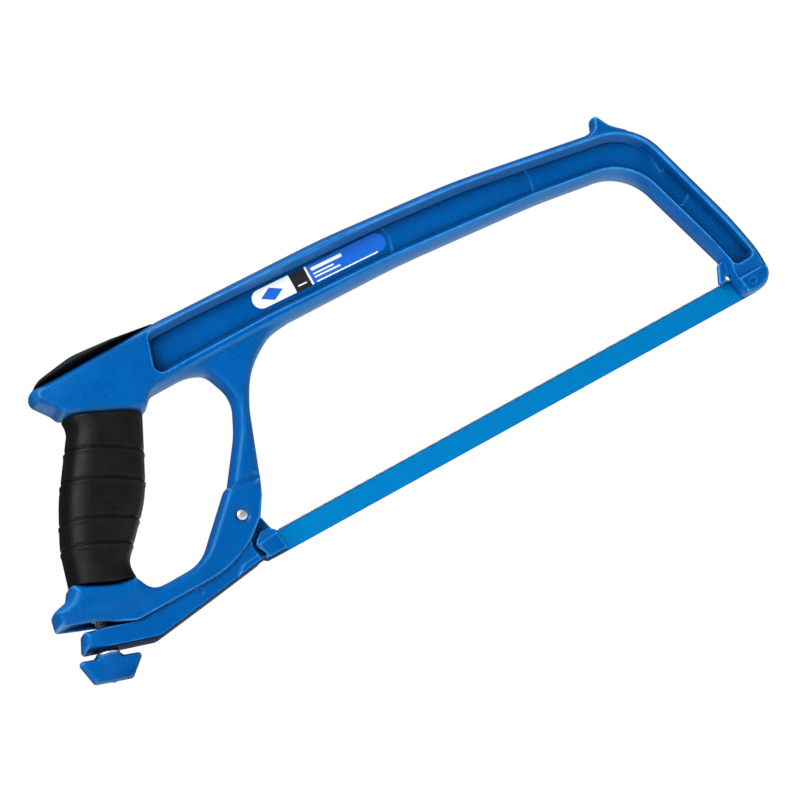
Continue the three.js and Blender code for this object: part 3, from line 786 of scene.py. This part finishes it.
WING = outline((-17.4, -2.2, 2), (19, -3, 2), (10.4, -15.8, 2.2), (-10.6, -15.8, 2.2))
WING_HALF = 3.6
# The knob's round neck, which narrows downward from NECK_LEVEL, and the screw's blind hole.
NECK_RADIUS, NECK_TAPER, NECK_LEVEL, NECK_TOP = 6.6, 0.5, -2, -1.8
KNOB_HOLE_RADIUS, KNOB_HOLE_FLOOR = 3.3, -13


def onto_screw(piece):
    """Turns a piece that was built round its own Z axis onto the tension screw, in its mesh."""
    turn = Matrix.Translation(SCREW_FOOT * MM) @ Matrix.Rotation(TILT, 4, "Y")
    piece.data.transform(turn)


def knob_layer(x, z):
    wing = distance(WING, x, z)

    def at(y):
        paddle = crowned(wing, y, WING_HALF, crown=1.0, edge=1.2)
        neck = np.hypot(x, y) - NECK_RADIUS - NECK_TAPER * (z - NECK_LEVEL)
        hole = np.maximum(np.hypot(x, y) - KNOB_HOLE_RADIUS, KNOB_HOLE_FLOOR - z)
        return np.maximum(smooth_min(paddle, smooth_max(neck, z - NECK_TOP, 0.6), 3.0), -hole)

    return at


def make_knob():
    piece = fill("thumb_knob_casting", (-19, -9, -18), (19, 9, 1), 0.3, knob_layer)
    onto_screw(piece)
    place(piece, "knob", COAT, "blue_powder_coat", "thumb_knob")


# ---- turned pieces --------------------------------------------------------------------------

SIDES = 64  # faces round a turned piece
ACROSS = Matrix.Rotation(math.radians(90), 4, "X")  # local Z to -Y, the near side


def lathe(name, profile, turn, foot):
    """A profile of (radius, height) pairs in mm, turned about its own Z axis, then placed at foot.
    A profile that starts and ends on the axis closes itself; any other is a ring."""
    verts, faces = [], []
    rings = []
    for radius, height in profile:
        if radius == 0:
            rings.append([len(verts)])
            verts.append((0, 0, height))
            continue
        rings.append(range(len(verts), len(verts) + SIDES))
        for side in range(SIDES):
            angle = 2 * math.pi * side / SIDES
            verts.append((radius * math.cos(angle), radius * math.sin(angle), height))
    if profile[0][0] != 0:
        rings.append(rings[0])
    for low, high in zip(rings, rings[1:]):
        for side in range(SIDES):
            after = (side + 1) % SIDES
            if len(low) == 1:
                faces.append((low[0], high[after], high[side]))
            elif len(high) == 1:
                faces.append((low[side], low[after], high[0]))
            else:
                faces.append((low[side], low[after], high[after], high[side]))
    mesh = bpy.data.meshes.new(name)
    mesh.from_pydata([tuple(Vector(v) * MM) for v in verts], [], faces)
    mesh.transform(Matrix.Translation(Vector(foot) * MM) @ turn)
    piece = shown(name, mesh)
    mesh.set_sharp_from_angle(angle=math.radians(35))
    return piece


def rod(r, low, high, rim=0.3):
    """Profile of a closed rod with chamfered ends."""
    return [(0, low), (r - rim, low), (r, low + rim), (r, high - rim), (r - rim, high), (0, high)]


def ring(inner, outer, low, high, rim=0.12):
    """Profile of a washer or sleeve."""
    return [
        (inner, low), (outer - rim, low), (outer, low + rim), (outer, high - rim),
        (outer - rim, high), (inner, high),
    ]


PIN_RIM = 0.35  # chamfer of the blade pins


def make_pins():
    far = -PIN_HIGH.y
    for name, foot, body in (
        ("rear_blade_pin", Vector(), "lever"),
        ("front_blade_pin", FRONT_PIN * Vector((1, 0, 1)), "bow"),
    ):
        piece = lathe(name + "_turned", rod(PIN_RADIUS, far, PIN_NEAR, PIN_RIM), ACROSS, foot)
        place(piece, body, STEEL, "steel", name)
    centre = middle("front_angle_pin") - HOME
    lean = Matrix.Rotation(math.radians(-45), 4, "X")
    piece = lathe("front_angle_pin_turned", rod(PIN_RADIUS, -4, 4, PIN_RIM), lean, centre)
    place(piece, "bow", STEEL, "steel", "front_angle_pin")


# (radius, height) of the pivot screw, from its point up to the middle of its domed head.
PIVOT_SCREW = (
    (0, -5), (1.5, -5), (1.7, -4.8), (1.7, 8.6), (3.0, 8.6), (3.0, 9.6), (2.7, 10.05), (2.0, 10.3),
    (1.1, 10.35), (1.0, 9.9), (0, 9.9),
)


def make_pivot():
    piece = lathe("pivot_screw_turned", PIVOT_SCREW, ACROSS, PIVOT)
    place(piece, "bow", ZINC, "zinc_plate", "pivot_screw")
    piece = lathe("pivot_barrel_turned", ring(2.0, 2.7, -9, 7.8), ACROSS, PIVOT)
    place(piece, "bow", ZINC, "zinc_plate", "pivot_barrel")
    cap = lathe("pivot_barrel_head", rod(3.0, -10.3, -8.8, 0.5), ACROSS, PIVOT)
    place(cap, "bow", ZINC, "zinc_plate", "pivot_barrel")
    bush = lathe("pivot_bush_turned", ring(3.0, 3.8, -EYE_HALF, EYE_HALF), ACROSS, PIVOT)
    place(bush, "lever", BRONZE, "bronze", "pivot_bush")
    for name, low in (("pivot_washer_near", 4.3), ("pivot_washer_far", -4.7)):
        washer = lathe(name + "_turned", ring(3.0, 6, low, low + 0.4), ACROSS, PIVOT)
        place(washer, "bow", STEEL, "steel", name)


SCREW_RADIUS, SCREW_LOW, SCREW_HIGH = 3.0, -12.5, 31.0
PITCH = 1.0
THREAD_DEPTH = 0.55
THREAD_SIDES, THREAD_ROWS = 36, 10  # points round the screw, and rows to each turn of the thread
END_TAPER, END_RUN = 0.5, 0.8  # how much the ends draw in, and over what length


def make_tension_screw():
    """The tension screw with a rounded thread, as rows of points round its axis."""
    rows = round((SCREW_HIGH - SCREW_LOW) / PITCH * THREAD_ROWS)
    verts = []
    for row in range(rows + 1):
        height = SCREW_LOW + (SCREW_HIGH - SCREW_LOW) * row / rows
        full = min(1.0, (SCREW_HIGH - height) / END_RUN, (height - SCREW_LOW) / END_RUN)
        for side in range(THREAD_SIDES):
            phase = height / PITCH - side / THREAD_SIDES
            depth = 0.5 + 0.5 * math.cos(2 * math.pi * phase)
            radius = SCREW_RADIUS - THREAD_DEPTH * depth**0.8 - END_TAPER * (1 - max(0.0, full))
            angle = 2 * math.pi * side / THREAD_SIDES
            verts.append((radius * math.cos(angle) * MM, radius * math.sin(angle) * MM, height * MM))
    top = rows * THREAD_SIDES
    faces = [tuple(range(THREAD_SIDES))[::-1], tuple(range(top, top + THREAD_SIDES))]
    for row in range(rows):
        first = row * THREAD_SIDES
        for side in range(THREAD_SIDES):
            a, b = first + side, first + (side + 1) % THREAD_SIDES
            faces.append((a, b, b + THREAD_SIDES, a + THREAD_SIDES))
    mesh = bpy.data.meshes.new("tension_screw_thread")
    mesh.from_pydata(verts, [], faces)
    piece = shown("tension_screw_thread", mesh)
    onto_screw(piece)
    place(piece, "knob", ZINC, "zinc_plate", "tension_screw")


def make_screw_fittings():
    along = Matrix.Rotation(TILT, 4, "Y")
    insert = lathe("threaded_insert_turned", ring(3.1, 4.5, 17.4, 33), along, SCREW_FOOT)
    place(insert, "bow", STEEL, "steel", "threaded_insert")
    washer = lathe("thrust_washer_turned", ring(3.3, 6.5, -1.5, -0.3, 0.25), along, SCREW_FOOT)
    place(washer, "washer", ZINC, "zinc_plate", "thrust_washer")
    through_knob = SCREW_FOOT - 8 * SCREW_UP
    pin = lathe("knob_cross_pin_turned", rod(1.1, -2.9, 2.9, 0.3), along @ ACROSS, through_knob)
    place(pin, "knob", STEEL, "steel", "knob_cross_pin")


# ---- blade ----------------------------------------------------------------------------------

TOOTH = 1.058  # 24 teeth to the inch
SET_WAVE = 6.6  # length of one wave of the set
SET = 0.42  # how far the teeth lean out to each side
TEETH_FROM, TEETH_TO = 9.0, 287.0
TOOTH_BACK, TOOTH_FACE = 0.82, 0.9  # where, in its pitch, a tooth reaches its point and falls off
GULLET, GULLET_AT_FACE = 0.75, 0.62  # depth between the teeth, and at the foot of a tooth's face
SET_FROM = 2.6  # height from which the blade leans out
SET_FADE = 6  # length over which the set fades out at each end
END_STEPS, END_FLAT = 12, 0.25  # columns that round each end, and the half height of the first
PLAIN = (2.5, 5.0, 7.0)  # columns between a round end and the teeth
BLADE_HOLE = 2.1
SLOT_STEPS = (0, 1.6, 3.2)  # the front hole is a short slot, cut as holes this far behind its pin


def blade_columns():
    """(x, lowest z, highest z) of each column of the blade, from its rear end to its front end."""
    half = BLADE_HIGH.z
    length = FRONT_PIN.x
    columns = []
    for step_in in range(END_STEPS + 1):
        angle = math.pi / 2 * step_in / END_STEPS
        reach = max(END_FLAT, half * math.sin(angle))
        columns.append((-half * math.cos(angle), -reach, reach))
    front = [(length - x, low, high) for x, low, high in reversed(columns)]
    columns += [(x, -half, half) for x in PLAIN]
    for tooth in range(round((TEETH_TO - TEETH_FROM) / TOOTH)):
        x = TEETH_FROM + tooth * TOOTH
        columns.append((x, -half, half - GULLET))
        columns.append((x + TOOTH_BACK * TOOTH, -half, half))
        columns.append((x + TOOTH_FACE * TOOTH, -half, half - GULLET_AT_FACE))
    columns += [(length - x, -half, half) for x in reversed(PLAIN)]
    return columns + front


def make_blade():
    shares = (0, 0.15, 0.4, 0.65, 0.78, 0.86, 0.93, 1)  # rows of points, closer toward the teeth
    half_thick = (BLADE_HIGH.y - BLADE_LOW.y) / 2
    columns = blade_columns()
    verts = []
    for x, low, high in columns:
        inside = min(1.0, max(0.0, min(x - TEETH_FROM, TEETH_TO - x) / SET_FADE))
        wave = SET * math.sin(2 * math.pi * x / SET_WAVE) * inside
        for side in (-1, 1):
            for share in shares:
                z = low + (high - low) * share
                lean = max(0.0, (z - SET_FROM) / (BLADE_HIGH.z - SET_FROM))
                verts.append((x * MM, (side * half_thick + wave * lean**1.5) * MM, z * MM))
    count = len(shares)
    faces = []
    for column in range(len(columns) - 1):
        a = column * 2 * count
        b = a + 2 * count
        for row in range(count - 1):
            faces.append((a + row, b + row, b + row + 1, a + row + 1))
            c, d = a + count, b + count
            faces.append((c + row + 1, d + row + 1, d + row, c + row))
        faces.append((a + count, b + count, b, a))
        faces.append((a + count - 1, b + count - 1, b + 2 * count - 1, a + 2 * count - 1))
    for start, flip in ((0, False), ((len(columns) - 1) * 2 * count, True)):
        loop = [start + row for row in range(count)]
        loop += [start + count + row for row in reversed(range(count))]
        faces.append(tuple(reversed(loop)) if flip else tuple(loop))
    mesh = bpy.data.meshes.new("hacksaw_blade")
    mesh.from_pydata(verts, [], faces)
    piece = shown("hacksaw_blade", mesh)
    holes = [
        lathe("hole", rod(BLADE_HOLE, -2, 2, 0), ACROSS, (x, 0, 0))
        for x in (0, *(FRONT_PIN.x - behind for behind in SLOT_STEPS))
    ]
    for hole in holes:
        cut = piece.modifiers.new("hole", "BOOLEAN")
        cut.object = hole
        cut.operation = "DIFFERENCE"
        cut.solver = "EXACT"
    graph = bpy.context.evaluated_depsgraph_get()
    piece.data = bpy.data.meshes.new_from_object(piece.evaluated_get(graph))
    piece.modifiers.clear()
    for hole in holes:
        bpy.data.objects.remove(hole)
    piece.data.set_sharp_from_angle(angle=math.radians(30))
    place(piece, "blade", ENAMEL, "blade_paint", "saw_blade")


# ---- labels ---------------------------------------------------------------------------------

LABEL_CENTRE = (99.0, 114.9)
LABEL_DROOP = -0.045
FILM, FILM_SINK = 0.22, 0.1  # the film's thickness, and how deep its back is sunk in the web
INK = 0.04  # how far each printed layer stands out of the one below


def bar(x0, x1, z0, z1):
    """Corners of a printed bar."""
    return ((x0, z0), (x1, z0), (x1, z1), (x0, z1))


def diamond(cx, reach, rise):
    """Corners of a printed diamond."""
    return ((cx - reach, 0), (cx, -rise), (cx + reach, 0), (cx, rise))


def make_label(name, side):
    """A printed film on one side of the web: a white end with a plain diamond, a dark block and a
    blue panel with plain bars where a real one has print."""
    half = 5.2
    white, black, blue = 0, 1, 2
    sheets = (  # outline, layer, colour
        (((-39, -half, half), (-4.4, -half), (-4.4, half), (-39, half, half)), 0, white),
        (diamond(-27.5, 6.6, 3.7), 1, blue),
        (bar(-15, -5.6, -half, half), 1, black),
        (bar(-12.9, -7.7, -2.9, -2.2), 2, white),
        (((-4.2, -half), (41, -half, half), (41, half, half), (-4.2, half)), 0, blue),
        (bar(-2.5, 34.5, -half + 0.2, -half + 0.9), 1, white),
        (bar(-2.5, 16, 1.6, 3.4), 1, white),
        (bar(-2.5, 10, -0.6, 0.2), 1, white),
        (bar(-2.5, 13, -2.5, -1.7), 1, white),
    )
    back = WEB - len(WEB_ARCS) * WEB_STEP - FILM_SINK
    verts, faces, kinds = [], [], []
    for corners, layer, kind in sheets:
        loop = outline(*corners)
        start = len(verts)
        for depth in (0.0, FILM + layer * INK):
            for x, z in loop:
                verts.append((x, side * (back + depth), z))
        count = len(loop)
        faces.append(tuple(range(start, start + count)))
        faces.append(tuple(range(start + 2 * count - 1, start + count - 1, -1)))
        faces += [
            (start + i, start + (i + 1) % count, start + count + (i + 1) % count, start + count + i)
            for i in range(count)
        ]
        kinds += [kind] * (count + 2)
    mesh = bpy.data.meshes.new(name)
    mesh.from_pydata([tuple(Vector(v) * MM) for v in verts], [], faces)
    mesh.validate()
    droop = Matrix.Rotation(-LABEL_DROOP, 4, "Y")
    centre = Vector((LABEL_CENTRE[0], 0, LABEL_CENTRE[1]))
    mesh.transform(Matrix.Translation(centre * MM) @ droop)
    piece = shown(name, mesh)
    place(piece, "bow", FILM_WHITE, "label_film", name.replace("_film", ""))
    piece.data.materials.append(FILM_BLACK)
    piece.data.materials.append(FILM_BLUE)
    piece.data.polygons.foreach_set("material_index", kinds)
    piece.data.shade_flat()


# ---- assembly -------------------------------------------------------------------------------

make_frame()
make_grip()
make_pad()
make_lever()
make_knob()
make_pins()
make_pivot()
make_tension_screw()
make_screw_fittings()
make_blade()
make_label("side_label_near_film", -1)
make_label("side_label_far_film", 1)

# ---- stage, light and camera ----------------------------------------------------------------

FLOOR_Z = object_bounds()[0].z - 0.001
FLOOR_REACH = 1.2


def make_floor():
    """A pale floor that fades out all round. It only shows from above, since the camera looks up
    from under it."""
    mesh = bpy.data.meshes.new("floor")
    corners = [(-1, -1, 0), (1, -1, 0), (1, 1, 0), (-1, 1, 0)]
    mesh.from_pydata([Vector(corner) * FLOOR_REACH for corner in corners], [], [(0, 1, 2, 3)])
    floor = bpy.data.objects.new("floor", mesh)
    floor.location.z = FLOOR_Z
    bpy.context.collection.objects.link(floor)
    f = Finish("floor")
    clear = f.node("ShaderNodeBsdfTransparent").outputs["BSDF"]
    behind = f.node("ShaderNodeNewGeometry").outputs["Backfacing"]
    base = f.mix(f.clouds(300), grey(0.84), grey(0.87))
    f.finish(Base_Color=base, Roughness=0.6)
    away = f.node("ShaderNodeVectorMath", {0: f.place}, operation="LENGTH").outputs["Value"]
    inputs = {0: behind, 1: f.ramp(away, 0.3, 1.1)}
    unseen = f.node("ShaderNodeMath", inputs, operation="MAXIMUM").outputs["Value"]
    both = f.node("ShaderNodeMixShader", {0: unseen, 1: f.shader.outputs["BSDF"], 2: clear})
    f.put(f.tree.nodes["Material Output"].inputs["Surface"], both.outputs["Shader"])
    mesh.materials.append(f.material)


def make_world():
    """White behind the saw. Matt surfaces see more light above, and glossy ones a bright floor."""
    world = bpy.data.worlds.new("studio")
    bpy.context.scene.world = world
    world.use_nodes = True
    w = Nodes(world.node_tree)
    way = w.node("ShaderNodeTexCoord").outputs["Generated"]
    height = w.node("ShaderNodeSeparateXYZ", {"Vector": way}).outputs["Z"]
    rays = w.node("ShaderNodeLightPath").outputs
    soft = w.ramp(height, -0.9, 0.9, 0.1, 0.55, interpolation_type="SMOOTHSTEP")
    mirrored = w.ramp(height, -0.75, -0.2, 2.4, 0.1, interpolation_type="SMOOTHSTEP")
    light = w.mix(rays["Is Glossy Ray"], soft, mirrored, "FLOAT")
    light = w.mix(rays["Is Camera Ray"], light, 1.0, "FLOAT")
    tint = w.mix(rays["Is Glossy Ray"], grey(1), (0.6, 0.92, 1, 1))
    background = w.tree.nodes["Background"]
    w.put(background.inputs["Strength"], light)
    w.put(background.inputs["Color"], tint)


def make_light(name, towards, distance_m, size, power):
    """A square soft light seen from the saw in direction `towards`."""
    lamp = bpy.data.lights.new(name, "AREA")
    lamp.size = size
    lamp.energy = power
    light = bpy.data.objects.new(name, lamp)
    way = Vector(towards).normalized()
    light.location = way * distance_m
    light.rotation_euler = way.to_track_quat("Z", "Y").to_euler()
    bpy.context.collection.objects.link(light)


# The view: from the near side, turned a little to the rear, from just under the blade.
AZIMUTH, ELEVATION = math.radians(-16.96), math.radians(-7.31)
CLIMB = math.radians(28.85)  # how steeply the blade rises across the picture
DISTANCE = 12.0
PICTURE_WIDTH = 0.4191  # what the picture spans at the saw
LOOK_AT = Vector((102.5, 0, 34.7))


def make_camera():
    back = Vector((
        math.sin(AZIMUTH) * math.cos(ELEVATION),
        -math.cos(AZIMUTH) * math.cos(ELEVATION),
        math.sin(ELEVATION),
    ))
    side = (-back).cross(Vector((0, 0, 1))).normalized()
    upright = side.cross(-back)
    roll = CLIMB - math.atan2(upright.x, side.x)
    right = side * math.cos(roll) - upright * math.sin(roll)
    up = side * math.sin(roll) + upright * math.cos(roll)
    data = bpy.data.cameras.new("camera")
    data.lens = data.sensor_width * DISTANCE / PICTURE_WIDTH
    data.clip_start, data.clip_end = 1, 40
    camera = bpy.data.objects.new("camera", data)
    camera.matrix_world = Matrix.Translation((HOME + LOOK_AT) * MM + back * DISTANCE) @ Matrix(
        (right, up, back)
    ).transposed().to_4x4()
    bpy.context.collection.objects.link(camera)
    bpy.context.scene.camera = camera


make_floor()
make_world()
make_light("key", towards=(-0.3, -0.75, 0.75), distance_m=1.7, size=0.9, power=28)
make_light("fill", towards=(-0.95, -0.6, 0.1), distance_m=1.8, size=1.0, power=11)
make_light("rim", towards=(0.2, 0.15, 1), distance_m=1.6, size=0.7, power=6)
make_camera()
bpy.context.scene.view_settings.view_transform = "Standard"
